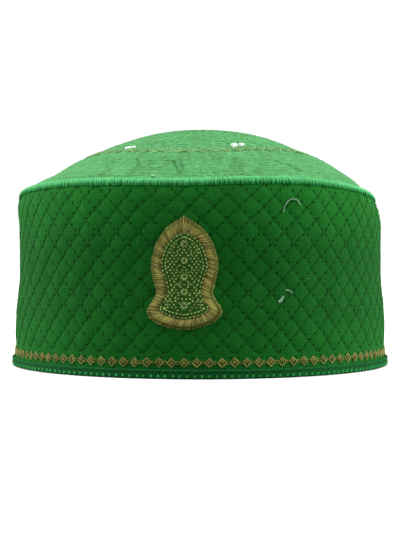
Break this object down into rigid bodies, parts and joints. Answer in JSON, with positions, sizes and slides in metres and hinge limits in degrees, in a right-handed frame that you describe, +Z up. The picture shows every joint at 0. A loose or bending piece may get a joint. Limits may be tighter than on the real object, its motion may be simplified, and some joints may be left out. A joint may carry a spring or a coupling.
{
  "type": "kufi cap",
  "caption": "Round brimless cloth cap with a quilted side band, low domed crown, bound hem, embroidered rings and a sandal-sole motif in gold thread at the front.",
  "frame": {"origin": "centre of the cap's round mouth, on the flat surface that the hem rests on", "axes": "+Z up through the crown, -Y to the front, where the motif is, +X to the wearer's left"},
  "size_m": [0.1898, 0.19, 0.1179],
  "materials": {
    "band_cloth": "quilted matt cotton, deep green",
    "crown_cloth": "silky stitched green, soft sheen",
    "seam_thread": "satin-stitched bright green thread",
    "binding_thread": "overstitched green thread",
    "gold_thread": "dull gold embroidery thread",
    "motif_ground": "gold chain stitches on dark green cloth"
  },
  "bodies": {
    "root": {"side_band": "band_cloth", "crown": "crown_cloth", "crown_seam": "seam_thread", "hem_binding": "binding_thread", "hem_border": "gold_thread", "crown_border": "gold_thread", "motif_edge": "gold_thread", "motif_field": "motif_ground"}
  },
  "joints": []
}
